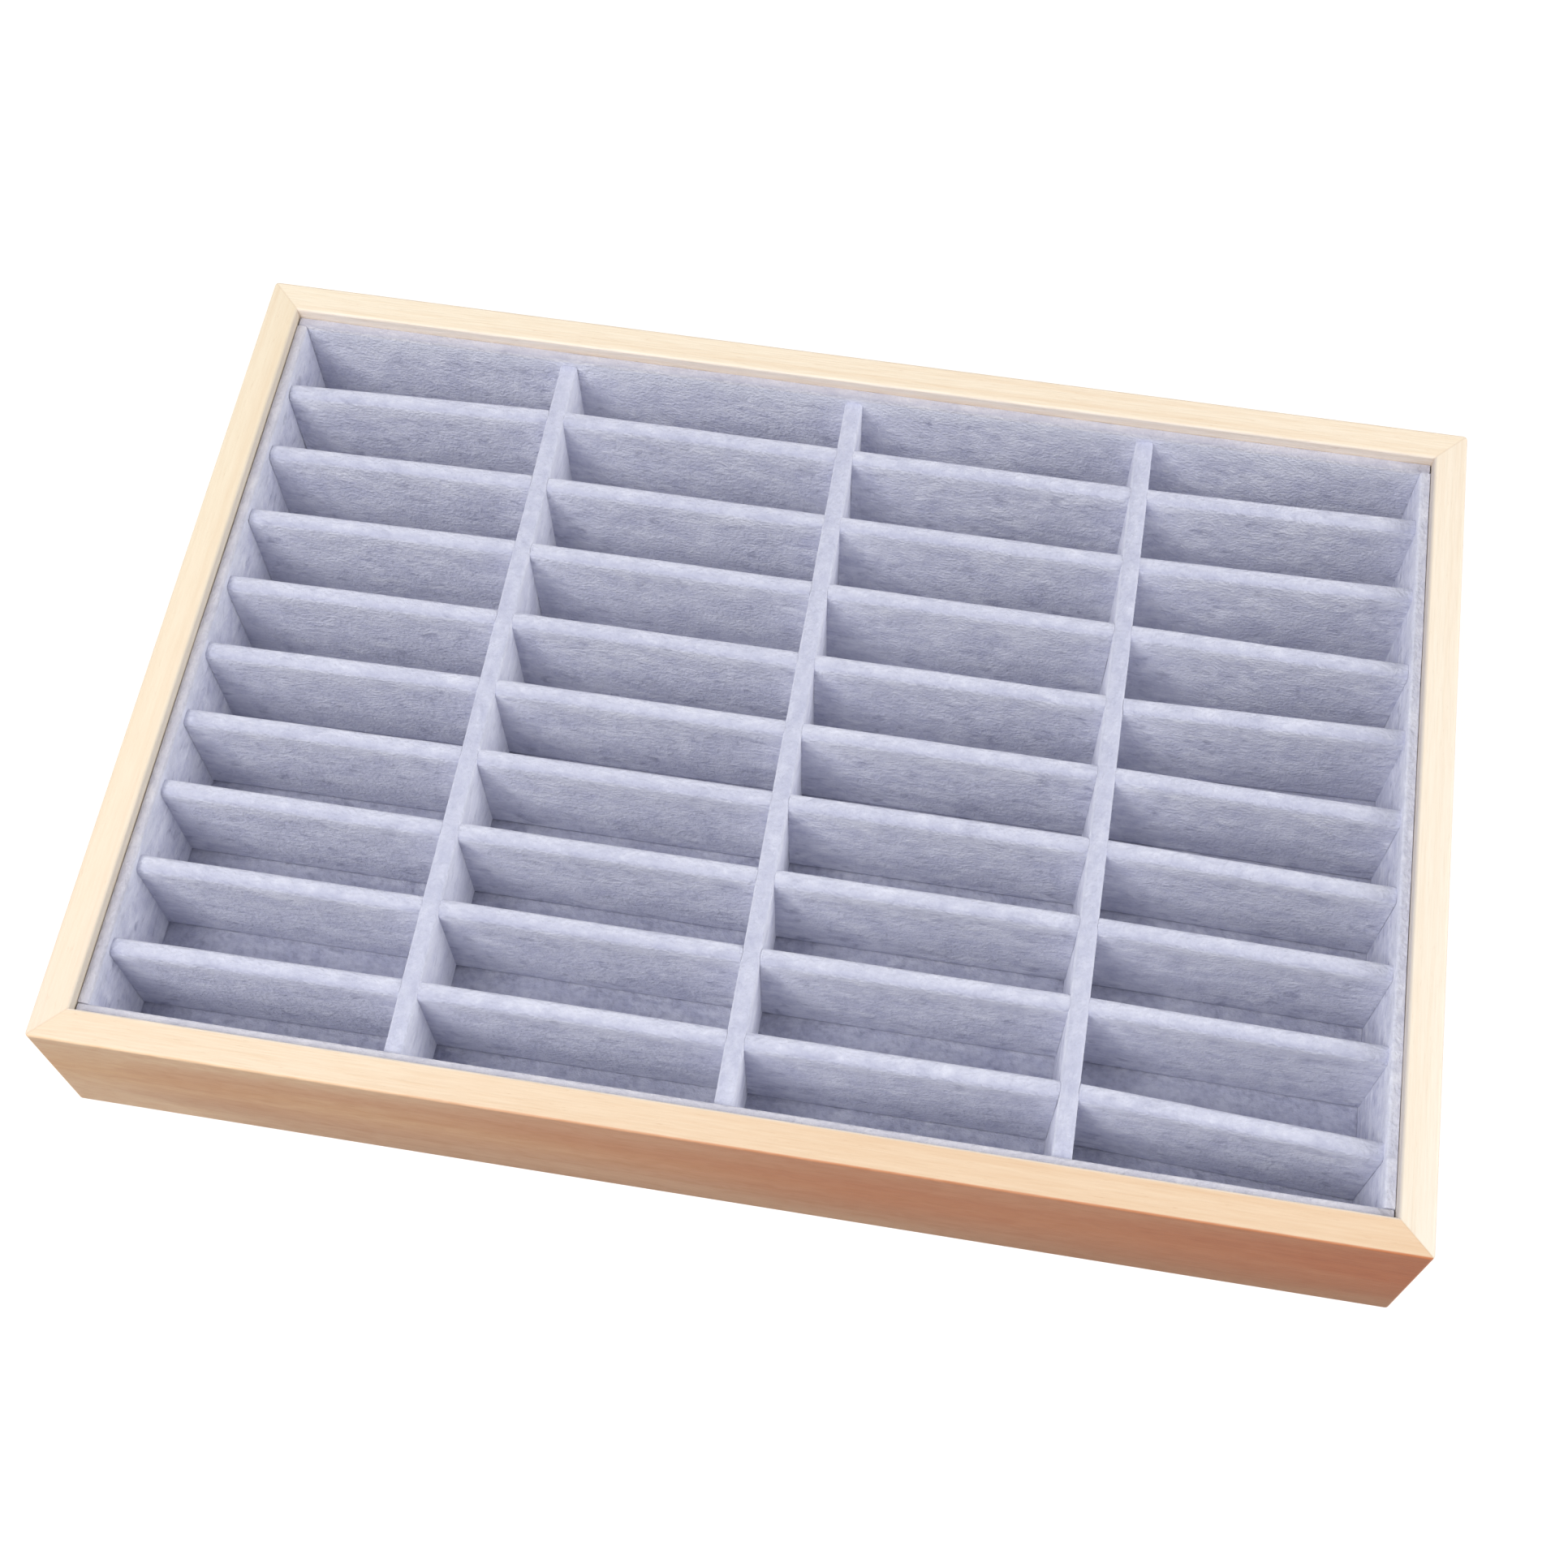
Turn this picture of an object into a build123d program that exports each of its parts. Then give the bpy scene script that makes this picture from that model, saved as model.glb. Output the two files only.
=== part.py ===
from build123d import *
import math
import os

# Bracelet display tray: a mitred wooden frame that holds a lift-out velvet insert with
# four columns of ten narrow compartments.
# The origin is at the middle of the underside. +X runs along the long side, +Y to the back, +Z up.

# Wooden frame
tray_length = 350.0
tray_depth = 240.0
tray_height = 48.0
rail_thickness = 9.0
rail_corner_radius = 1.2
rail_edge_radius = 0.8

# Base board, let into a rebate round the underside of the frame
base_thickness = 3.0
rebate_width = 5.0
base_clearance = 0.3

# Brads that hold the base board up against the rebate
pin_diameter = 1.2
pin_length = 11.0
pin_head_diameter = 2.6
pin_head_thickness = 0.6
pin_head_recess = 0.3
pin_clearance = 0.05
pins_on_long_side = 4
pins_on_short_side = 3
pin_corner_distance = 22.0

# Hidden tongues across the mitres
tongue_width = 7.0
tongue_thickness = 2.0
tongue_end_margin = 7.0
tongue_clearance = 0.1

# Insert: a floor and four liners covered in velvet
insert_clearance = 0.4
seat_clearance = 0.2
floor_board_thickness = 1.8
velvet_thickness = 1.0
liner_drop = 3.5
liner_board_thickness = 1.2
turn_in_thickness = 0.4
turn_in_height = 12.0
liner_edge_radius = 0.9

# Dividers between the compartments
columns = 4
rows = 10
divider_board_thickness = 3.2
divider_top_radius = 1.4
divider_drop = 3.0
long_divider_rise = 0.4
board_end_clearance = 0.3
border_cell_loss = 2.2

# The insert was put together by hand, so the dividers don't stand quite at their even places: how
# far each long divider sits to the right (+) or left (-), from left to right, and how far each row
# of cross dividers sits behind (+) or in front (-), from the back row to the front.
column_drift = (-0.3, 0.5, 1.2)
row_drift = (0.0, -0.5, -0.3, -0.8, 0.2, 1.1, 1.2, 1.4, 0.7)

# The cross dividers of the two outer columns stand a little askew: how far the end at the liner
# sits behind (+) or in front (-) of its row line, from the back row to the front.
left_column_skew = (-3.0, -1.6, -1.4, -0.9, -1.2, -0.8, 0.0, -0.2, -0.8)
right_column_skew = (1.5, 1.7, -0.3, 2.1, -0.7, -1.5, -1.0, -1.0, -3.2)

# Sizes that follow from the ones above
opening_length = tray_length - 2 * rail_thickness
opening_depth = tray_depth - 2 * rail_thickness
base_length = opening_length + 2 * (rebate_width - base_clearance)
base_depth = opening_depth + 2 * (rebate_width - base_clearance)

insert_length = opening_length - 2 * insert_clearance
insert_depth = opening_depth - 2 * insert_clearance
floor_board_z = base_thickness + seat_clearance
floor_velvet_z = floor_board_z + floor_board_thickness
floor_z = floor_velvet_z + velvet_thickness

liner_thickness = turn_in_thickness + liner_board_thickness + velvet_thickness
liner_top = tray_height - liner_drop
inner_length = insert_length - 2 * liner_thickness
inner_depth = insert_depth - 2 * liner_thickness

divider_thickness = divider_board_thickness + 2 * velvet_thickness
cross_top = liner_top - divider_drop
long_top = cross_top + long_divider_rise

# The compartments that border a liner are a little narrower than the rest
cell_length = (inner_length - (columns - 1) * divider_thickness + 2 * border_cell_loss) / columns
cell_depth = (inner_depth - (rows - 1) * divider_thickness + 2 * border_cell_loss) / rows
column_pitch = cell_length + divider_thickness
row_pitch = cell_depth + divider_thickness


def bar(length, depth, low, high):
    """A plain upright block, centred on the origin in plan."""
    block = Box(length, depth, high - low, align=(Align.CENTER, Align.CENTER, Align.MIN))
    return Pos(0, 0, low) * block


def frame_ring():
    """The whole frame before it is cut at the mitres: rounded edges, the opening and the rebate."""
    ring = bar(tray_length, tray_depth, 0, tray_height)
    ring = fillet(ring.edges().filter_by(Axis.Z), rail_corner_radius)
    ring -= bar(opening_length, opening_depth, 0, tray_height)
    ring = fillet(ring.faces().sort_by(Axis.Z)[-1].edges(), rail_edge_radius)
    rebate_length = opening_length + 2 * rebate_width
    rebate_depth = opening_depth + 2 * rebate_width
    return ring - bar(rebate_length, rebate_depth, 0, base_thickness)


def tongue_places():
    """Where each mitre's tongue stands, halfway along its mitre, turned square to it."""
    x = (tray_length - rail_thickness) / 2
    y = (tray_depth - rail_thickness) / 2
    corners = [(x, y, -45), (-x, y, 45), (-x, -y, -45), (x, -y, 45)]
    return [Pos(cx, cy, 0) * Rot(0, 0, turn) for cx, cy, turn in corners]


def corner_tongues(clearance):
    """Four upright strips across the mitres, or with a clearance the slots that take them."""
    low = base_thickness + tongue_end_margin - clearance
    high = tray_height - tongue_end_margin + clearance
    tongue = bar(tongue_width + 2 * clearance, tongue_thickness + 2 * clearance, low, high)
    return Compound([place * tongue for place in tongue_places()])


def pin_places():
    """The brads' places round the base board, along the middle of the rebate's shoulder."""
    x = opening_length / 2 + (rebate_width - base_clearance) / 2
    y = opening_depth / 2 + (rebate_width - base_clearance) / 2
    long_run = x - pin_corner_distance
    short_run = y - pin_corner_distance
    along = [long_run * (2 * i / (pins_on_long_side - 1) - 1) for i in range(pins_on_long_side)]
    across = [short_run * (2 * i / (pins_on_short_side - 1) - 1) for i in range(pins_on_short_side)]
    return [(a, side * y) for side in (-1, 1) for a in along] + [
        (side * x, a) for side in (-1, 1) for a in across
    ]


def base_pins(clearance):
    """Flat-headed brads driven up through the base board, or with a clearance their holes."""
    head_top = pin_head_recess + pin_head_thickness + clearance
    head_low = 0 if clearance else pin_head_recess
    head_radius = pin_head_diameter / 2 + clearance
    shank_top = pin_head_recess + pin_length + clearance
    up = (Align.CENTER, Align.CENTER, Align.MIN)
    head = Pos(0, 0, head_low) * Cylinder(head_radius, head_top - head_low, align=up)
    shank = Pos(0, 0, head_low) * Cylinder(pin_diameter / 2 + clearance, shank_top - head_low, align=up)
    pin = head + shank
    return Compound([Pos(x, y, 0) * pin for x, y in pin_places()])


def mitre_wedge(outline, turn):
    """The part of the plan that one rail keeps, bounded by the mitre planes at its two ends."""
    return Rot(0, 0, turn) * extrude(make_face(Polyline(*outline, close=True)), tray_height)


def frame_rails():
    """The four rails, each with its slots for the tongues and holes for the brads."""
    ring = frame_ring() - corner_tongues(tongue_clearance) - base_pins(pin_clearance)
    ridge = (tray_length - tray_depth) / 2
    reach = tray_length
    long_side = [(-ridge, 0), (ridge, 0), (ridge + reach, -reach), (-ridge - reach, -reach)]
    short_side = [(ridge, 0), (ridge + reach, reach), (ridge + reach, -reach)]
    return {
        "frame_front": ring & mitre_wedge(long_side, 0),
        "frame_back": ring & mitre_wedge(long_side, 180),
        "frame_right": ring & mitre_wedge(short_side, 0),
        "frame_left": ring & mitre_wedge(short_side, 180),
    }


def base_board():
    """The thin panel that closes the underside, drilled for its brads."""
    board = bar(base_length, base_depth, 0, base_thickness)
    return board - base_pins(pin_clearance)


def upright_profile(thickness, low, high, radius):
    """The end view of an upright strip with a rounded top, drawn in the YZ plane."""
    half = thickness / 2
    side = Polyline((-half, high - radius), (-half, low), (half, low), (half, high - radius))
    if radius < half:
        left = RadiusArc((-half, high - radius), (-half + radius, high), radius)
        top = Line((-half + radius, high), (half - radius, high))
        right = RadiusArc((half - radius, high), (half, high - radius), radius)
        outline = [side, left, top, right]
    else:
        outline = [side, ThreePointArc((-half, high - radius), (0, high), (half, high - radius))]
    return Plane.YZ * make_face(Curve() + outline)


def liner_velvet(length):
    """Velvet on one liner: inner face, rounded top edge and a short turn-in down the outer face.
    It runs along X with its inner face towards +Y."""
    half = liner_thickness / 2
    strip = upright_profile(liner_thickness, floor_z, liner_top, liner_edge_radius)
    cover = extrude(strip, length / 2, both=True)
    board_y = -half + turn_in_thickness + liner_board_thickness / 2
    pocket_top = liner_top - velvet_thickness
    pocket = Pos(0, board_y, 0) * bar(length, liner_board_thickness, floor_z, pocket_top)
    below = bar(length, turn_in_thickness, floor_z, liner_top - turn_in_height)
    return cover - pocket - Pos(0, -half + turn_in_thickness / 2, 0) * below


def liner_board(length):
    """The card inside one liner."""
    board_y = -liner_thickness / 2 + turn_in_thickness + liner_board_thickness / 2
    return Pos(0, board_y, 0) * bar(length, liner_board_thickness, floor_z, liner_top - velvet_thickness)


def liners():
    """Four liners stood on the insert's floor. The front and back ones run the full length."""
    side_length = insert_depth - 2 * liner_thickness
    x = (insert_length - liner_thickness) / 2
    y = (insert_depth - liner_thickness) / 2
    places = {
        "liner_front": (Pos(0, -y, 0), insert_length),
        "liner_back": (Pos(0, y, 0) * Rot(0, 0, 180), insert_length),
        "liner_left": (Pos(-x, 0, 0) * Rot(0, 0, -90), side_length),
        "liner_right": (Pos(x, 0, 0) * Rot(0, 0, 90), side_length),
    }
    nodes = {}
    for name, (place, length) in places.items():
        nodes[f"{name}_velvet"] = place * liner_velvet(length)
        nodes[f"{name}_board"] = place * liner_board(length)
    return nodes


def divider_board(length, top):
    """The bare board of a divider, standing on the floor along X."""
    board_length = length - 2 * velvet_thickness
    return bar(board_length, divider_board_thickness, floor_z, top - velvet_thickness)


def divider_velvet(length, top):
    """Velvet wrapped over a divider's board: both faces, the round top and both ends."""
    profile = upright_profile(divider_thickness, floor_z, top, divider_top_radius)
    return extrude(profile, length / 2, both=True) - divider_board(length, top)


def column_line(index):
    """The X of the long divider on the right of a column."""
    drift = column_drift[index] if index < len(column_drift) else 0.0
    return (index + 1 - columns / 2) * column_pitch + drift


def row_line(index):
    """The Y of a cross divider, counted from the back."""
    drift = row_drift[index] if index < len(row_drift) else 0.0
    return (rows / 2 - 1 - index) * row_pitch + drift


def long_dividers():
    """The dividers that run from the front liner to the back one without a break."""
    length = inner_depth - 2 * board_end_clearance
    names = ["left", "middle", "right"]
    nodes = {}
    for index in range(columns - 1):
        word = names[index] if index < len(names) else f"{index + 1}"
        place = Pos(column_line(index), 0, 0) * Rot(0, 0, 90)
        nodes[f"long_divider_{word}_velvet"] = place * divider_velvet(length, long_top)
        nodes[f"long_divider_{word}_board"] = place * divider_board(length, long_top)
    return nodes


def column_span(column):
    """The X of a column's two walls."""
    low = column_line(column - 1) + divider_thickness / 2 if column > 0 else -inner_length / 2
    high = column_line(column) - divider_thickness / 2 if column < columns - 1 else inner_length / 2
    return low, high


def end_skew(column, row):
    """How far the left and right ends of a cross divider sit off its row line."""
    left, right = 0.0, 0.0
    if column == 0 and row < len(left_column_skew):
        left = left_column_skew[row]
    if column == columns - 1 and row < len(right_column_skew):
        right = right_column_skew[row]
    return left, right


def cross_divider_place(column, row):
    """The place and turn of a cross divider, and its length."""
    low, high = column_span(column)
    left, right = end_skew(column, row)
    length = high - low - 2 * board_end_clearance
    turn = math.degrees(math.atan2(right - left, high - low))
    middle = Pos((low + high) / 2, row_line(row) + (left + right) / 2, 0)
    return middle * Rot(0, 0, turn), length


def cross_dividers():
    """The short dividers, column by column, and their boards as one group."""
    nodes = {}
    boards = []
    for column in range(columns):
        for row in range(rows - 1):
            place, length = cross_divider_place(column, row)
            nodes[f"cross_divider_{column + 1}_{row + 1}_velvet"] = place * divider_velvet(length, cross_top)
            boards.append(place * divider_board(length, cross_top))
    nodes["cross_divider_boards"] = Compound(boards)
    return nodes


def insert_floor():
    """The card floor of the insert and the velvet glued on it."""
    return {
        "floor_board": bar(insert_length, insert_depth, floor_board_z, floor_velvet_z),
        "floor_velvet": bar(insert_length, insert_depth, floor_velvet_z, floor_z),
    }


def tray():
    """Every piece of the tray by name."""
    nodes = frame_rails()
    nodes["corner_tongues"] = corner_tongues(0)
    nodes["base_board"] = base_board()
    nodes["base_pins"] = base_pins(0)
    nodes.update(insert_floor())
    nodes.update(liners())
    nodes.update(long_dividers())
    nodes.update(cross_dividers())
    return nodes


os.makedirs("parts", exist_ok=True)
for node_name, piece in tray().items():
    export_step(piece, f"parts/{node_name}.step")
print(f"column pitch {column_pitch:.2f}, row pitch {row_pitch:.2f}")
print(f"compartment {cell_length:.2f} x {cell_depth:.2f}, floor at {floor_z:.2f}")
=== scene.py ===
import math

import bmesh
import bpy
from mathutils import Matrix, Vector, noise


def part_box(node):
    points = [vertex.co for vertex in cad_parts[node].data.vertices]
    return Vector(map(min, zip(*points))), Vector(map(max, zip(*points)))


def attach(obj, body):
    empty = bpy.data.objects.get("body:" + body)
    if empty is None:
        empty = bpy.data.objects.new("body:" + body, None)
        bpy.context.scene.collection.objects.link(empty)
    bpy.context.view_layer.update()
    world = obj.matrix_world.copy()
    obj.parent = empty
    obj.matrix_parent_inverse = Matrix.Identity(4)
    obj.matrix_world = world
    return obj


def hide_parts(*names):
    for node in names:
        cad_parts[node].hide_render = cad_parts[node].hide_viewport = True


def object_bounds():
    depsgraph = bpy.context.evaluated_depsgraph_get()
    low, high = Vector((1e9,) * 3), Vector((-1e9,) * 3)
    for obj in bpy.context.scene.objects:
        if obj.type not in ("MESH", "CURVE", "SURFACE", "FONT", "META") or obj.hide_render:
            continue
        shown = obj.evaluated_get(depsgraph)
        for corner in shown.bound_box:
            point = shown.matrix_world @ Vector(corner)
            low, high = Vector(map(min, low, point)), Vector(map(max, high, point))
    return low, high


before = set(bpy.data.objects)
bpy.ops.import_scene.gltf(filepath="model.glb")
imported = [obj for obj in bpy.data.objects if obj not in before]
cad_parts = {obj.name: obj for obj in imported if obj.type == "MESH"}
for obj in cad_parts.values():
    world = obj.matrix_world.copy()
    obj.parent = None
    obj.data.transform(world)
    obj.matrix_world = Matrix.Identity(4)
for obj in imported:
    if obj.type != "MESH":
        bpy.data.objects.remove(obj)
cad_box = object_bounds()


# The wooden frame: four planed pine rails, mitred at the corners and glued across hidden tongues.
# The faces are sanded and have one thin coat of clear matt lacquer. The grain runs along each rail,
# so it changes direction at the mitres, and a hairline of glue shows there.
opening_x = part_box("frame_right")[0].x
opening_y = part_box("frame_back")[0].y
mitre_start = cad_box[1].x - cad_box[1].y
glue_line_width = 0.00035
glue_share = 0.12
ring_length = 0.22
ring_width = 0.0032
fibre_length = 0.01
fibre_width = 0.00055
fibre_relief = 0.00006
pore_length = 0.0035
pore_width = 0.00028
blotch_length = 0.007
blotch_width = 0.003
blotch_share = 0.3
board_tone_length = 0.12
board_tone_width = 0.02
board_tone_share = 0.4
mellow_start = 0.25
mellow_end = 1.25
mellow_curve = 0.6
heart_height = 0.028
heart_band = 0.018
foot_shade_height = 0.024
eased_edge = 0.0008
lacquer_roughness = 0.5
lacquer_shine = 0.22
wood_ior = 1.5


def linear(code):
    """An sRGB hex colour as linear red, green and blue, with alpha."""
    parts = [int(code[i:i + 2], 16) / 255 for i in (1, 3, 5)]
    return [p / 12.92 if p <= 0.04045 else ((p + 0.055) / 1.055) ** 2.4 for p in parts] + [1.0]


def add_node(material, kind, inputs=None, **settings):
    """Adds a node with its settings. Each input, by its name or number, takes a value, or the node
    or the output that feeds it."""
    node = material.node_tree.nodes.new("ShaderNode" + kind)
    for name, value in settings.items():
        setattr(node, name, value)
    sockets = [socket for socket in node.inputs if socket.enabled]
    for key, value in (inputs or {}).items():
        socket = sockets[key] if isinstance(key, int) else next(s for s in sockets if s.name == key)
        if isinstance(value, bpy.types.Node):
            value = next(output for output in value.outputs if output.enabled)
        if isinstance(value, bpy.types.NodeSocket):
            material.node_tree.links.new(value, socket)
        else:
            socket.default_value = value
    return node


def bare_material(name):
    """A material with no nodes in it yet."""
    material = bpy.data.materials.new(name)
    material.use_nodes = True
    material.node_tree.nodes.clear()
    return material


def streaks(material, way, length, width, detail=2.0, wander=0.0, start=0.0, full=1.0):
    """A pattern of streaks of a real length and width along axis number way, which may wander to
    the sides. It starts where the noise passes one level and is full at another."""
    scale = [1 / width] * 3
    scale[way] = 1 / length
    place = add_node(material, "TexCoord").outputs["Object"]
    drawn = add_node(material, "Mapping", {"Vector": place, "Scale": scale})
    inputs = {"Vector": drawn, "Scale": 1.0, "Detail": detail, "Distortion": wander}
    clouds = add_node(material, "TexNoise", inputs)
    return add_node(material, "MapRange", {"Value": clouds, "From Min": start, "From Max": full})


def lay_over(material, colour, pattern, share, shade, blend="MIX"):
    """Lays a shade over a colour where a pattern shows, up to a share of it."""
    part = add_node(material, "Math", {0: pattern, 1: share}, operation="MULTIPLY")
    inputs = {"Factor": part, "A": colour, "B": linear(shade)}
    return add_node(material, "Mix", inputs, data_type="RGBA", blend_type=blend)


def planed_pine(name, way, sap, heart, outer_sap, outer_heart, inner, shoulder, figure):
    """Planed pine under clear matt lacquer: pale cream boards with soft, slightly darker grain
    lines, fine fibres and a few short brown flecks, which catch a broad dull highlight. A board
    mellows from its sapwood end to its heartwood end. Its flat-sawn outer face is browner and more
    blotchy from a shoulder on the rounded top edge down, and richest along its middle; its browner
    tone is partly the wood's own and partly painted shade, and painted shade greys it towards its
    foot. Its inner face takes a colour per rail: greyer on the left and right rails as painted shade,
    and paler on the back rail as painted light."""
    pine = bare_material(name)
    place = add_node(pine, "TexCoord").outputs["Object"]
    spot = add_node(pine, "SeparateXYZ", {0: place}).outputs

    # How far the board has mellowed: with the way along it, and with the tone of its own wood.
    inputs = {"Value": spot[way], "From Min": cad_box[0][way], "From Max": cad_box[1][way]}
    along = add_node(pine, "MapRange", inputs)
    board = streaks(pine, way, board_tone_length, board_tone_width, start=0.3, full=0.7)
    inputs = {0: board, 1: board_tone_share, 2: along}
    mellow = add_node(pine, "Math", inputs, operation="MULTIPLY_ADD")
    inputs = {"Value": mellow, "From Min": mellow_start, "From Max": mellow_end}
    mellow = add_node(pine, "MapRange", inputs)
    mellow = add_node(pine, "Math", {0: mellow, 1: mellow_curve}, operation="POWER")

    # Which face a point is on: past the shoulder of the outer face, or inside the opening.
    reach = add_node(pine, "VectorMath", {0: place}, operation="ABSOLUTE")
    reach = add_node(pine, "SeparateXYZ", {0: reach}).outputs
    outer_faces = []
    inner_faces = []
    for axis, opening in enumerate((opening_x, opening_y)):
        outer = cad_box[1][axis]
        inputs = {"Value": reach[axis], "From Min": outer - shoulder, "From Max": outer - shoulder / 2}
        outer_faces.append(add_node(pine, "MapRange", inputs))
        inputs = {"Value": reach[axis], "From Min": opening + eased_edge, "From Max": opening}
        inner_faces.append(add_node(pine, "MapRange", inputs))
    outside = add_node(pine, "Math", dict(enumerate(outer_faces)), operation="MAXIMUM")
    inside = add_node(pine, "Math", dict(enumerate(inner_faces)), operation="MINIMUM")

    # The outer face's colour: its heartwood band and its blotches, and painted shade that greys it towards
    # its foot.
    inputs = {"Factor": mellow, "A": linear(outer_sap), "B": linear(outer_heart)}
    outer_colour = add_node(pine, "Mix", inputs, data_type="RGBA")
    off_heart = add_node(pine, "Math", {0: spot["Z"], 1: heart_height}, operation="SUBTRACT")
    off_heart = add_node(pine, "Math", {0: off_heart}, operation="ABSOLUTE")
    heartwood = add_node(pine, "MapRange", {"Value": off_heart, "From Min": heart_band, "From Max": 0.0})
    # Painted shade: the outer face greys towards its foot, where less light reaches it.
    foot = add_node(pine, "MapRange", {"Value": spot["Z"], "From Min": foot_shade_height, "From Max": 0.0})
    blotches = streaks(pine, way, blotch_length, blotch_width, detail=3.0, wander=0.8, start=0.4, full=0.7)
    outer_colour = lay_over(pine, outer_colour, heartwood, 1.0, "#FAEEDE", "MULTIPLY")
    outer_colour = lay_over(pine, outer_colour, foot, mellow, "#E2F8FD", "MULTIPLY")
    outer_colour = lay_over(pine, outer_colour, blotches, blotch_share, "#E4C6A8", "MULTIPLY")

    # The whole rail: its faces' colours, and over them the grain and the glue line of the mitres.
    inputs = {"Factor": mellow, "A": linear(sap), "B": linear(heart)}
    colour = add_node(pine, "Mix", inputs, data_type="RGBA")
    inputs = {"Factor": outside, "A": colour, "B": outer_colour}
    colour = add_node(pine, "Mix", inputs, data_type="RGBA")
    colour = lay_over(pine, colour, inside, 1.0, inner)
    rings = streaks(pine, way, ring_length, ring_width, detail=3.0, start=0.48, full=0.72)
    fibres = streaks(pine, way, fibre_length, fibre_width, detail=3.0, start=0.35, full=0.75)
    pores = streaks(pine, way, pore_length, pore_width, detail=1.0, start=0.7, full=0.8)
    colour = lay_over(pine, colour, rings, figure, "#E4C6A4", "MULTIPLY")
    colour = lay_over(pine, colour, fibres, figure, "#EAD6BE", "MULTIPLY")
    colour = lay_over(pine, colour, pores, figure, "#C79F78", "MULTIPLY")
    beside = add_node(pine, "Math", {0: reach["X"], 1: reach["Y"]}, operation="SUBTRACT")
    inputs = {0: beside, 1: mitre_start, 2: glue_line_width}
    glue = add_node(pine, "Math", inputs, operation="COMPARE")
    colour = lay_over(pine, colour, glue, glue_share, "#B58C62")

    relief = add_node(pine, "Bump", {"Height": fibres, "Distance": fibre_relief})
    inputs = {"Base Color": colour, "Normal": relief, "Roughness": lacquer_roughness,
              "Specular IOR Level": lacquer_shine, "IOR": wood_ior}
    surface = add_node(pine, "BsdfPrincipled", inputs)
    add_node(pine, "OutputMaterial", {"Surface": surface})
    return pine


def dress(nodes, material):
    """Gives CAD pieces a finish."""
    for name in nodes:
        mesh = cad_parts[name].data
        mesh.materials.clear()
        mesh.materials.append(material)


# Inner wall colours: the back wall's is paler as painted light, and the left and right walls' are greyer
# as painted shade.
pale_wall = "#F8F3EC"
painted_light_wall = "#FBF0E4"
shaded_wall = "#E6DCCC"
painted_shadow_wall = "#D8D0CA"
broad_shoulder = 0.0006
thin_shoulder = 0.0001
bold_figure = 0.25
faint_figure = 0.15

# Each rail has the axis that it runs along, the colours of its sapwood and heartwood ends, those of
# its outer face and of its inner wall, its shoulder, and how strongly its figure shows. The back
# rail's outer colours are paler, as painted light on its dimly lit back face, and the front rail's outer
# face darkens towards its right end partly as painted shade, for a light that falls from the left.
rails = {
    "front": (0, "#F0DCC3", "#EACEAF", "#FFDEBC", "#D6885E", pale_wall, broad_shoulder, bold_figure),
    "back": (0, "#F8EBD5", "#F8E9D3", "#F2D6B8", "#DCA880", painted_light_wall, thin_shoulder, bold_figure),
    "left": (1, "#F3E0CC", "#F2E4CB", "#DFC0A0", "#C69A74", shaded_wall, thin_shoulder, faint_figure),
    "right": (1, "#F3E9D9", "#F7EAD7", "#DFC0A0", "#C69A74", painted_shadow_wall, thin_shoulder, faint_figure),
}
for side, finish in rails.items():
    dress([f"frame_{side}"], planed_pine(f"planed_pine_{side}_rail", *finish))


# The base board and the corner tongues: thin poplar plywood. The board is let into a rebate
# under the frame, and a tongue is glued across each mitre, out of sight.
ply_figure_length = 0.18
ply_figure_width = 0.012
ply_fibre_length = 0.02
ply_fibre_width = 0.0007
ply_fibre_share = 0.4
ply_roughness = 0.75


def poplar_plywood(name, way):
    """Rotary-cut poplar veneer, sanded and left bare: creamy grey, with long wandering figure and
    short dull fibres, and no shine."""
    veneer = bare_material(name)
    figure = streaks(veneer, way, ply_figure_length, ply_figure_width, detail=4.0, start=0.4, full=0.65)
    fibres = streaks(veneer, way, ply_fibre_length, ply_fibre_width, start=0.4, full=0.75)
    colour = lay_over(veneer, linear("#E3CFAE"), figure, 1.0, "#CDB088")
    colour = lay_over(veneer, colour, fibres, ply_fibre_share, "#B99A70")
    relief = add_node(veneer, "Bump", {"Height": fibres, "Distance": fibre_relief})
    inputs = {"Base Color": colour, "Normal": relief, "Roughness": ply_roughness}
    surface = add_node(veneer, "BsdfPrincipled", inputs)
    add_node(veneer, "OutputMaterial", {"Surface": surface})
    return veneer


dress(["base_board", "corner_tongues"], poplar_plywood("bare_poplar_plywood", 0))


# The base pins: small flat-headed steel brads, driven through the base board into the rails.
# They are cut from drawn wire and left bright.
draw_mark_length = 0.004
draw_mark_width = 0.00015
smooth_roughness = 0.28
marked_roughness = 0.5

# Bright drawn wire: a grey metal whose fine draw marks spread the shine unevenly.
drawn_steel = bare_material("drawn_steel_wire")
draw_marks = streaks(drawn_steel, 2, draw_mark_length, draw_mark_width)
steel_colour = lay_over(drawn_steel, linear("#B4B5B7"), draw_marks, 1.0, "#8E8F92")
roughness_range = {"Value": draw_marks, "To Min": smooth_roughness, "To Max": marked_roughness}
steel_roughness = add_node(drawn_steel, "MapRange", roughness_range)
steel_finish = {"Base Color": steel_colour, "Roughness": steel_roughness, "Metallic": 1.0}
steel_surface = add_node(drawn_steel, "BsdfPrincipled", steel_finish)
add_node(drawn_steel, "OutputMaterial", {"Surface": steel_surface})
dress(["base_pins"], drawn_steel)


# The boards of the insert: a floor of greyboard, four greyboard liners that stand on it, and
# fibreboard strips inside the dividers. The velvet is glued over them.
mottle_size = 0.006
fleck_length = 0.0022
fleck_width = 0.0011
board_roughness = 0.9


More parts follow.
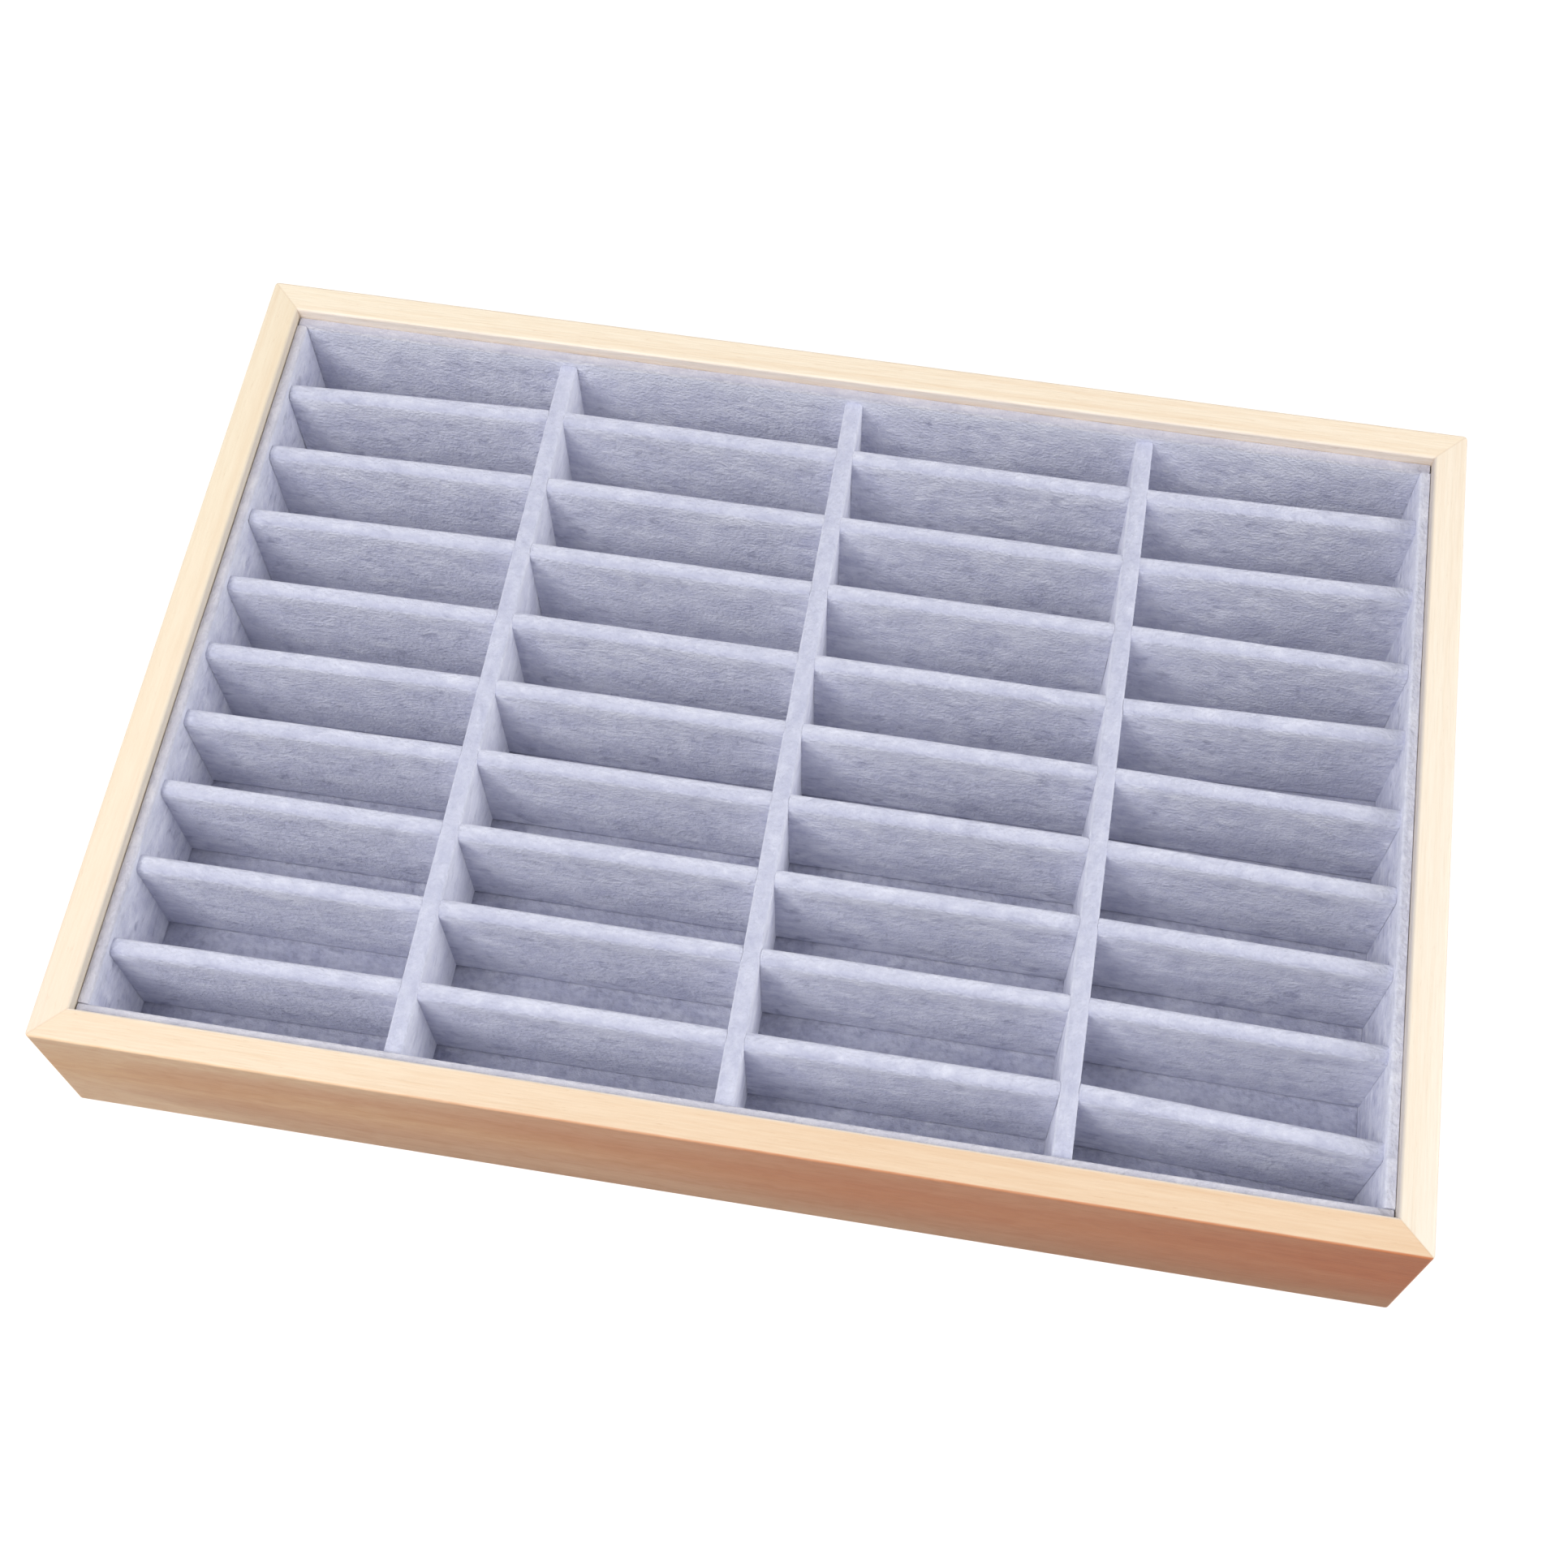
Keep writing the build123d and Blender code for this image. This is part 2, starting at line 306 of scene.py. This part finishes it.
def pressed_board(name, pale, dark, fleck):
    """Pressed pulp or fibre: a dull, even board with a soft mottle and small flecks in it."""
    board = bare_material(name)
    mottle = streaks(board, 0, mottle_size, mottle_size, start=0.35, full=0.65)
    grit = streaks(board, 0, fleck_length, fleck_width)
    flecks = add_node(board, "MapRange", {"Value": grit, "From Min": 0.62, "From Max": 0.72})
    colour = lay_over(board, linear(pale), mottle, 1.0, dark)
    colour = lay_over(board, colour, flecks, 1.0, fleck)
    relief = add_node(board, "Bump", {"Height": grit, "Distance": fibre_relief})
    inputs = {"Base Color": colour, "Normal": relief, "Roughness": board_roughness}
    surface = add_node(board, "BsdfPrincipled", inputs)
    add_node(board, "OutputMaterial", {"Surface": surface})
    return board


liner_sides = ["front", "back", "left", "right"]
long_names = ["left", "middle", "right"]
card_pieces = ["floor_board"] + [f"liner_{side}_board" for side in liner_sides]
fibre_pieces = ["cross_divider_boards"] + [f"long_divider_{place}_board" for place in long_names]
dress(card_pieces, pressed_board("pressed_greyboard", "#A7A39B", "#97938B", "#7E7A73"))
dress(fibre_pieces, pressed_board("pressed_fibreboard", "#A98A66", "#977855", "#7C6043"))


# The floor velvet: one sheet laid flat on the insert's floor board and glued, with the pile up.
# It is a short-pile polyester velvet in a pale lilac grey, like all the cloth of the insert.
patch_length = 0.033
patch_width = 0.022
wisp_length = 0.014
wisp_width = 0.008
wisp_share = 0.58
clump_length = 0.006
clump_width = 0.0042
clump_share = 0.62
nap_length = 0.014
nap_width = 0.0018
nap_share = 0.4
dab_length = 0.006
dab_width = 0.003
dab_share = 0.6
brush_length = 0.0035
brush_width = 0.011
brush_share = 0.4
pile_length = 0.00117
pile_width = 0.0009
pile_share = 0.28
pile_relief = 0.0005
pile_strength = 0.5
tuft_size = 0.0016
stir_left = 0.85
stir_right = 1.3
level_shade_length = 0.005
level_shade_width = 0.003
level_shade_change = 0.1
rail_reflection_share = 2.5
painted_light_depth = 0.006
painted_light_share = 0.5
front_slope_shade_share = 0.6
seam_shade_height = 0.0013
seam_shade_share = 0.8
velvet_shine = 0.1
glow_share = 0.25
glow_spread = 0.5
cloth_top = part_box("cross_divider_1_1_velvet")[1].z
cloth_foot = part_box("floor_velvet")[1].z
liner_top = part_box("liner_front_velvet")[1].z
crown_gap = 0.001
floor_grid = 0.003
floor_wave = 0.0002
floor_wave_size = 0.02
fold_angle = math.radians(50)
near = 1e-6


def brushed_velvet(name, way, level_shade, mottle):
    """Short-pile polyester velvet: a pale lilac grey whose nap was brushed along the piece by
    hand. Clumps of pile lie different ways, so it looks mottled, with soft streaks, a few strokes
    across them, small dark dabs and a speckle of tufts. The pile glows where it is seen from the
    side and has no highlight. Its tufts are drawn about three times their real size, because they
    are too fine to show. Painted light and shade are laid into its colour as well. Pieces differ in
    how strongly their level faces are painted darker and how mottled they are."""
    velvet = bare_material(name)
    place = add_node(velvet, "TexCoord").outputs["Object"]
    spot = add_node(velvet, "SeparateXYZ", {0: place}).outputs

    # The brushed pile: dark where it lies away, and paler again in strokes and at the tufts' tips.
    # The clumps were stirred up more towards the right end of the tray.
    patches = streaks(velvet, way, patch_length, patch_width, start=0.3, full=0.7)
    wisps = streaks(velvet, way, wisp_length, wisp_width, detail=4.0, wander=1.0, start=0.35, full=0.65)
    clumps = streaks(velvet, way, clump_length, clump_width, detail=5.0, wander=0.8, start=0.3, full=0.7)
    nap = streaks(velvet, way, nap_length, nap_width, detail=3.0, wander=0.6, start=0.45, full=0.75)
    dabs = streaks(velvet, way, dab_length, dab_width, wander=0.5, start=0.58, full=0.72)
    brush = streaks(velvet, way, brush_length, brush_width, start=0.4, full=0.75)
    pile = streaks(velvet, way, pile_length, pile_width, detail=3.0, start=0.35, full=0.7)
    inputs = {"Value": spot["X"], "From Min": cad_box[0].x, "From Max": cad_box[1].x,
              "To Min": stir_left, "To Max": stir_right}
    stir = add_node(velvet, "MapRange", inputs)
    clumps = add_node(velvet, "Mix", {"Factor": stir, "A": 0.5, "B": clumps}, clamp_factor=False)
    colour = lay_over(velvet, linear("#F1F2FE"), patches, 1.0, "#F5F6FF")
    colour = lay_over(velvet, colour, wisps, wisp_share * mottle, "#BABCD6")
    colour = lay_over(velvet, colour, clumps, clump_share * mottle, "#B5B7D1")
    colour = lay_over(velvet, colour, nap, nap_share * mottle, "#ADAFCB")
    colour = lay_over(velvet, colour, dabs, dab_share * mottle, "#9092AE")
    colour = lay_over(velvet, colour, brush, brush_share, "#EEEFFB")
    colour = lay_over(velvet, colour, pile, pile_share, "#F4F5FD")

    # Painted light: the pile is paler towards a top edge, for the light that falls on the upper part of
    # each face. Painted shade: a level face is darker by a share that wavers, with a ragged edge, for the
    # darker look of pile seen end-on from above.
    inputs = {"Value": spot["Z"], "From Min": cloth_top - painted_light_depth, "From Max": cloth_top}
    painted_crest_light = add_node(velvet, "MapRange", inputs)
    colour = lay_over(velvet, colour, painted_crest_light, painted_light_share, "#EDEFFB")
    normal = add_node(velvet, "NewGeometry").outputs["Normal"]
    slope = add_node(velvet, "SeparateXYZ", {0: normal}).outputs
    tufts = streaks(velvet, way, tuft_size, tuft_size)
    ragged = add_node(velvet, "Math", {0: tufts, 1: slope["Z"]}, operation="ADD")
    level = add_node(velvet, "MapRange", {"Value": ragged, "From Min": 0.8, "From Max": 1.5})
    # Painted shade on level faces, with a strength that is set per piece.
    inputs = {"Value": streaks(velvet, way, level_shade_length, level_shade_width), "From Min": 0.35, "From Max": 0.65,
              "To Min": level_shade - level_shade_change, "To Max": level_shade + level_shade_change}
    painted_level_shade = add_node(velvet, "MapRange", inputs)
    colour = lay_over(velvet, colour, level, painted_level_shade, "#A9ACC8")

    # The liners' top edges stand higher than the dividers. There they are a little warmer, as painted
    # warm light reflected from the wooden rails beside them.
    inputs = {"Value": spot["Z"], "From Min": cloth_top + crown_gap, "From Max": liner_top}
    painted_rail_reflection = add_node(velvet, "MapRange", inputs)
    colour = lay_over(velvet, colour, painted_rail_reflection, rail_reflection_share * level_shade, "#FEF9F0", "MULTIPLY")

    # Painted shade: a slope that faces the front is darker, for the darker look of pile seen straight on.
    # Painted shade also darkens the cloth in the seam where it meets the floor. It is a shade warmer the
    # deeper it lies.
    inputs = {0: slope["Y"], 1: slope["Z"], 2: tufts}
    front_facing = add_node(velvet, "Math", inputs, operation="MULTIPLY_ADD")
    painted_front_slope_shade = add_node(velvet, "MapRange", {"Value": front_facing, "From Min": 0.62, "From Max": 0.1})
    sloping = add_node(velvet, "MapRange", {"Value": slope["Z"], "From Min": 0.0, "From Max": 0.5})
    painted_front_slope_shade = add_node(velvet, "Math", {0: painted_front_slope_shade, 1: sloping}, operation="MULTIPLY")
    colour = lay_over(velvet, colour, painted_front_slope_shade, front_slope_shade_share, "#D6D7E2", "MULTIPLY")
    inputs = {"Value": spot["Z"], "From Min": cloth_foot + seam_shade_height, "From Max": cloth_foot}
    painted_seam_shade = add_node(velvet, "MapRange", inputs)
    upright = add_node(velvet, "MapRange", {"Value": level, "From Min": 1.2, "From Max": 0.0})
    painted_seam_shade = add_node(velvet, "Math", {0: painted_seam_shade, 1: upright}, operation="MULTIPLY")
    colour = lay_over(velvet, colour, painted_seam_shade, seam_shade_share, "#A9A9BA", "MULTIPLY")
    inputs = {"Value": spot["Z"], "From Min": cloth_top, "From Max": cloth_foot}
    deep = add_node(velvet, "MapRange", inputs)
    colour = lay_over(velvet, colour, deep, 1.0, "#FFFFFD", "MULTIPLY")

    inputs = {"Height": pile, "Distance": pile_relief, "Strength": pile_strength}
    relief = add_node(velvet, "Bump", inputs)
    inputs = {"Base Color": colour, "Normal": relief, "Roughness": 1.0,
              "Specular IOR Level": velvet_shine, "Sheen Weight": glow_share,
              "Sheen Roughness": glow_spread, "Sheen Tint": linear("#E4E6FA")}
    surface = add_node(velvet, "BsdfPrincipled", inputs)
    add_node(velvet, "OutputMaterial", {"Surface": surface})
    return velvet


cross_velvet = brushed_velvet("brushed_velvet_along_x", 0, 0.33, 1.0)
long_velvet = brushed_velvet("long_divider_velvet_along_y", 1, 0.5, 0.7)


def divide(bm, way, step):
    """Cuts the edges that run along an axis into lengths of about a step."""
    edges = []
    for edge in bm.edges:
        run = edge.verts[1].co - edge.verts[0].co
        if abs(run[way]) > 0.99 * run.length and run.length > 1.5 * step:
            edges.append(edge)
    longest = max(edge.calc_length() for edge in edges)
    bmesh.ops.subdivide_edges(bm, edges=edges, cuts=round(longest / step) - 1, use_grid_fill=True)


def soften(verts, depth, size):
    """Lets the cloth lie a little unevenly: each point sinks by up to a depth."""
    moves = [v.normal * depth * (noise.noise(v.co / size) - 1) / 2 for v in verts]
    for v, move in zip(verts, moves):
        v.co += move


def add_velvet(node, bm, velvet):
    """Makes a cloth piece that stands for its CAD node and moves with the insert."""
    mesh = bpy.data.meshes.new(f"{node}_cover")
    bm.to_mesh(mesh)
    bm.free()
    mesh.materials.append(velvet)
    mesh.shade_smooth()
    mesh.set_sharp_from_angle(angle=fold_angle)
    piece = bpy.data.objects.new(f"{node}_cover", mesh)
    bpy.context.scene.collection.objects.link(piece)
    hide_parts(node)
    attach(piece, "insert")


floor_low, floor_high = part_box("floor_velvet")
floor_size = floor_high - floor_low
floor_bm = bmesh.new()
bmesh.ops.create_cube(floor_bm, size=1.0)
bmesh.ops.scale(floor_bm, vec=floor_size, verts=floor_bm.verts)
bmesh.ops.translate(floor_bm, vec=(floor_low + floor_high) / 2, verts=floor_bm.verts)
divide(floor_bm, 0, floor_grid)
divide(floor_bm, 1, floor_grid)
floor_bm.normal_update()
soften([v for v in floor_bm.verts if v.co.z > floor_high.z - near], floor_wave, floor_wave_size)
add_velvet("floor_velvet", floor_bm, cross_velvet)


# The liners' velvet: a strip glued to the inside of each greyboard liner, pulled over its top edge
# and turned down behind it for a dozen millimetres. The turned-in part is pressed thin, and its
# lower edge was cut by hand.
turn_in_height = 0.012
liner_inner_radius = 0.0009
liner_outer_radius = 0.0003
liner_edge_segments = 4
liner_swell = 0.00034
cut_edge_wave = 0.0008
cut_edge_wave_size = 0.012
cloth_step = 0.0025
cloth_dip = 0.00022
cloth_dip_size = 0.018

# The painted shade on the liners' level tops is set per liner by how each is lit: the back liner's
# is strongest, and the right one's, which its rail shades from the side lamp, is hardly there.
liner_finishes = {
    "front": (0.0, cross_velvet),
    "back": (math.pi, brushed_velvet("back_liner_velvet_along_x", 0, 0.5, 1.0)),
    "left": (-math.pi / 2, brushed_velvet("left_liner_velvet_along_y", 1, 0.38, 1.25)),
    "right": (math.pi / 2, brushed_velvet("right_liner_velvet_along_y", 1, 0.05, 1.25)),
}

for side, (turn, velvet) in liner_finishes.items():
    node = f"liner_{side}_velvet"
    board = f"liner_{side}_board"
    low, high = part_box(node)
    board_low, board_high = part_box(board)
    run, span = (0, 1) if side in ("front", "back") else (1, 0)
    length = high[run] - low[run]
    thickness = high[span] - low[span]
    board_thickness = board_high[span] - board_low[span]
    if side in ("front", "left"):
        turned_in = board_low[span] - low[span]
    else:
        turned_in = high[span] - board_high[span]
    top = high.z
    inner_y = thickness / 2
    outer_y = -thickness / 2 - liner_swell
    card_y = -thickness / 2 + turned_in
    section = [
        (inner_y, low.z), (inner_y, top), (outer_y, top), (outer_y, top - turn_in_height),
        (card_y, top - turn_in_height), (card_y, board_high.z),
        (card_y + board_thickness, board_high.z), (card_y + board_thickness, low.z),
    ]
    strip = bmesh.new()
    corners = [strip.verts.new((-length / 2, y, z)) for y, z in section]
    end = strip.faces.new(corners)
    grown = bmesh.ops.extrude_face_region(strip, geom=[end])["geom"]
    far = [g for g in grown if isinstance(g, bmesh.types.BMVert)]
    bmesh.ops.translate(strip, vec=(length, 0, 0), verts=far)
    bmesh.ops.recalc_face_normals(strip, faces=strip.faces)
    for y, radius in ((inner_y, liner_inner_radius), (outer_y, liner_outer_radius)):
        on_edge = [v for v in strip.verts if v.co.z > top - near and abs(v.co.y - y) < near]
        edges = [e for e in strip.edges if e.verts[0] in on_edge and e.verts[1] in on_edge]
        bmesh.ops.bevel(
            strip, geom=edges, offset=radius, affect="EDGES", segments=liner_edge_segments,
            profile=0.5, material=-1,
        )
    divide(strip, 0, cloth_step)
    divide(strip, 2, cloth_step)
    middle = (low + high) / 2
    stand = Matrix.Translation((middle.x, middle.y, 0)) @ Matrix.Rotation(turn, 4, "Z")
    bmesh.ops.transform(strip, matrix=stand, verts=strip.verts)
    strip.normal_update()
    hem = [v for v in strip.verts if abs(v.co.z - (top - turn_in_height)) < near]
    soften([v for v in strip.verts if v.co.z > low.z + cloth_step / 2], cloth_dip, cloth_dip_size)
    for v in hem:
        v.co.z += cut_edge_wave * noise.noise(Vector((v.co.x, v.co.y, 0)) / cut_edge_wave_size)
    add_velvet(node, strip, velvet)


# The dividers' velvet: each strip of board is wrapped before it goes in. The cloth runs up one
# face, over the top edge and down the other, with its ends tucked in, and is glued all round.
# Three long dividers run from front to back, and nine cross dividers stand in each column.
wrap_thickness = 0.0006
cross_roll = (0.0015, 0.0016)
long_roll = (0.0009, 0.0012)
roll_segments = 5
crown = 0.00012
end_roll = 0.00012
end_segments = 2
foot_height = 0.0012
foot_tuck = 0.0004
pile_reach = 0.0005
columns = 4
cross_rows = 9
long_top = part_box("long_divider_middle_velvet")[1].z


def wrap_velvet(name, rests_on, velvet, turn, roll, low_end_over=False, high_end_over=False):
    """A velvet sleeve in place of a divider's CAD cover, set at the cover's own turn. Its top edges
    are rolled over a width and a depth, and the flat between them is slightly crowned. Its ends'
    pile reaches into the cloth that they meet, and at a long divider it spreads over the rolled
    shoulder and closes the notch there."""
    roll_width, roll_depth = roll
    points = [v.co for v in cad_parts[name].data.vertices]
    turned = [Matrix.Rotation(-turn, 3, "Z") @ p for p in points]
    low = Vector([min(p[i] for p in turned) for i in range(3)])
    high = Vector([max(p[i] for p in turned) for i in range(3)])
    low.x -= pile_reach
    high.x += pile_reach
    size = high - low
    sleeve = bmesh.new()
    bmesh.ops.create_cube(sleeve, size=1.0)
    bmesh.ops.scale(sleeve, vec=size, verts=sleeve.verts)
    bmesh.ops.translate(sleeve, vec=(low + high) / 2, verts=sleeve.verts)
    below = [f for f in sleeve.faces if f.normal.z < -0.5]
    bmesh.ops.delete(sleeve, geom=below, context="FACES_ONLY")
    long_edges = [e for e in sleeve.edges if min(v.co.z for v in e.verts) > high.z - near]
    long_edges = [e for e in long_edges if e.calc_length() > size.y + near]
    bmesh.ops.bevel(
        sleeve, geom=long_edges, offset=roll_width, affect="EDGES", segments=roll_segments,
        profile=0.5, material=-1,
    )
    rolled = [v for v in sleeve.verts if v.co.z > high.z - roll_width - near]
    drawn_down = (1, 1, roll_depth / roll_width)
    from_top = Matrix.Translation((0, 0, -high.z))
    bmesh.ops.scale(sleeve, vec=drawn_down, space=from_top, verts=rolled)
    divide(sleeve, 1, size.y / 4)
    half_flat = size.y / 2 - roll_width
    for v in sleeve.verts:
        if v.co.z > high.z - roll_depth - near:
            v.co.z -= crown * min(1, abs(v.co.y - (low.y + high.y) / 2) / half_flat) ** 2
    ends = [f for f in sleeve.faces if abs(f.normal.x) > 0.99]
    end_edges = {e for f in ends for e in f.edges if not e.is_boundary}
    bmesh.ops.bevel(
        sleeve, geom=list(end_edges), offset=end_roll, affect="EDGES", segments=end_segments,
        profile=0.5, material=-1,
    )
    long_width, long_depth = long_roll
    for v in sleeve.verts:
        rise = min(max(v.co.z - long_top + long_depth, 0), long_depth) / long_depth
        over = long_width * (1 - math.sqrt(1 - rise ** 2))
        if high_end_over and v.co.x > high.x - end_roll - near:
            v.co.x += over
        if low_end_over and v.co.x < low.x + end_roll + near:
            v.co.x -= over
    divide(sleeve, 0, cloth_step)
    divide(sleeve, 2, cloth_step)
    bmesh.ops.bisect_plane(
        sleeve, geom=sleeve.verts[:] + sleeve.edges[:] + sleeve.faces[:],
        plane_co=(0, 0, low.z + foot_height), plane_no=(0, 0, 1),
    )
    foot = [v for v in sleeve.verts if v.co.z < low.z + near]
    middle = (low + high) / 2
    narrowed = (1, 1 - 2 * foot_tuck / size.y, 1)
    bmesh.ops.scale(sleeve, vec=narrowed, space=Matrix.Translation(-middle), verts=foot)
    bmesh.ops.rotate(sleeve, cent=(0, 0, 0), matrix=Matrix.Rotation(turn, 3, "Z"), verts=sleeve.verts)
    sleeve.normal_update()
    soften([v for v in sleeve.verts if v.co.z > low.z + cloth_step / 2], cloth_dip, cloth_dip_size)
    bmesh.ops.solidify(sleeve, geom=sleeve.faces[:], thickness=wrap_thickness)
    add_velvet(name, sleeve, velvet)


for place in long_names:
    rests_on = [f"long_divider_{place}_board"]
    wrap_velvet(f"long_divider_{place}_velvet", rests_on, long_velvet, math.pi / 2, long_roll)


def turn_of(name):
    """How far a cross divider stands off the X direction, from the middles of its two ends."""
    points = [v.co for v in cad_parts[name].data.vertices]
    left = min(p.x for p in points) + 3 * wrap_thickness
    right = max(p.x for p in points) - 3 * wrap_thickness
    near_left = [p for p in points if p.x < left]
    near_right = [p for p in points if p.x > right]
    run = sum(near_right, Vector()) / len(near_right) - sum(near_left, Vector()) / len(near_left)
    return math.atan2(run.y, run.x)


for column in range(1, columns + 1):
    for row in range(1, cross_rows + 1):
        name = f"cross_divider_{column}_{row}_velvet"
        ends_over = (column > 1, column < columns)
        wrap_velvet(name, ["cross_divider_boards"], cross_velvet, turn_of(name), cross_roll, *ends_over)


# The studio: a white sweep under and behind the tray, a soft lamp high at the front left, one low
# at the right, a weak one low at the left, and even light from all round. The sweep shows white,
# and keeps a faint shadow at the tray's foot.
sweep_size = 8.0
sweep_gap = 0.0001
touch_reach = 0.001
sweep_glow = 0.92
room_light = 0.265
tray_middle = Vector((0.0, 0.0, 0.03))
bpy.context.scene.view_settings.view_transform = "Standard"

sweep_bm = bmesh.new()
bmesh.ops.create_grid(sweep_bm, x_segments=1, y_segments=1, size=sweep_size / 2)
bmesh.ops.translate(sweep_bm, vec=(0, 0, -sweep_gap), verts=sweep_bm.verts)
sweep_mesh = bpy.data.meshes.new("white_sweep")
sweep_bm.to_mesh(sweep_mesh)
sweep_bm.free()
sweep = bpy.data.objects.new("white_sweep", sweep_mesh)
bpy.context.scene.collection.objects.link(sweep)


def seen_rays(owner):
    """1 for what the camera, a reflection or clear glass sees, and 0 for the light it gives."""
    rays = add_node(owner, "LightPath").outputs
    inputs = {0: rays["Is Camera Ray"], 1: rays["Is Glossy Ray"]}
    seen = add_node(owner, "Math", inputs, operation="MAXIMUM")
    return add_node(owner, "Math", {0: seen, 1: rays["Is Transmission Ray"]}, operation="MAXIMUM")


# White paper: matt, and a little brighter to the camera and in reflections than it is lit. So that
# the underside can be looked at, it is clear from below and to what lies right on it.
paper = bare_material("matt_white_paper")
paper_diffuse = add_node(paper, "BsdfDiffuse", {"Color": linear("#7C7067")})
paper_white = add_node(paper, "Math", {0: seen_rays(paper), 1: sweep_glow}, operation="MULTIPLY")
paper_glow = add_node(paper, "Emission", {"Strength": paper_white})
paper_lit = add_node(paper, "AddShader", {0: paper_diffuse, 1: paper_glow})
ray_length = add_node(paper, "LightPath").outputs["Ray Length"]
touching = add_node(paper, "Math", {0: ray_length, 1: touch_reach}, operation="LESS_THAN")
from_below = add_node(paper, "NewGeometry").outputs["Backfacing"]
paper_clear = add_node(paper, "Math", {0: from_below, 1: touching}, operation="MAXIMUM")
glass = add_node(paper, "BsdfTransparent")
paper_surface = add_node(paper, "MixShader", {0: paper_clear, 1: paper_lit, 2: glass})
add_node(paper, "OutputMaterial", {"Surface": paper_surface})
sweep_mesh.materials.append(paper)

world = bpy.data.worlds.new("even_room")
bpy.context.scene.world = world
world.use_nodes = True
world.node_tree.nodes.clear()
room_range = {"Value": seen_rays(world), "To Min": room_light, "To Max": 1.0}
room_strength = add_node(world, "MapRange", room_range)
backdrop = add_node(world, "Background", {"Color": linear("#FFFFFF"), "Strength": room_strength})
add_node(world, "OutputWorld", {"Surface": backdrop})

for name, place, power, lamp_size in (
    ("key_softbox", Vector((-0.588, -0.588, 1.242)), 15.0, 0.84),
    ("side_softbox", Vector((1.13, 0.0, 0.53)), 9.7, 0.7),
    ("fill_softbox", Vector((-1.13, 0.0, 0.53)), 3.3, 0.7),
):
    light = bpy.data.lights.new(name, "AREA")
    light.shape = "SQUARE"
    light.size = lamp_size
    light.energy = power
    lamp = bpy.data.objects.new(name, light)
    lamp.location = place
    lamp.rotation_mode = "QUATERNION"
    lamp.rotation_quaternion = (tray_middle - place).to_track_quat("-Z", "Y")
    bpy.context.scene.collection.objects.link(lamp)


# The camera stands in front of the tray, well above it and a little to its right. It looks down on
# it at about sixty degrees, tipped a degree to one side, through a slightly long lens.
camera_place = Vector((0.04964, -0.28174, 0.58162))
camera_aim = Vector((0.00131, -0.02016, 0.048))
camera_roll = math.radians(-1.11)
camera_lens = 52.0

camera_data = bpy.data.cameras.new("camera")
camera_data.lens = camera_lens
camera = bpy.data.objects.new("camera", camera_data)
camera_turn = (camera_aim - camera_place).to_track_quat("-Z", "Y").to_matrix()
camera_turn = camera_turn @ Matrix.Rotation(camera_roll, 3, "Z")
camera.matrix_world = Matrix.Translation(camera_place) @ camera_turn.to_4x4()
bpy.context.scene.collection.objects.link(camera)
bpy.context.scene.camera = camera
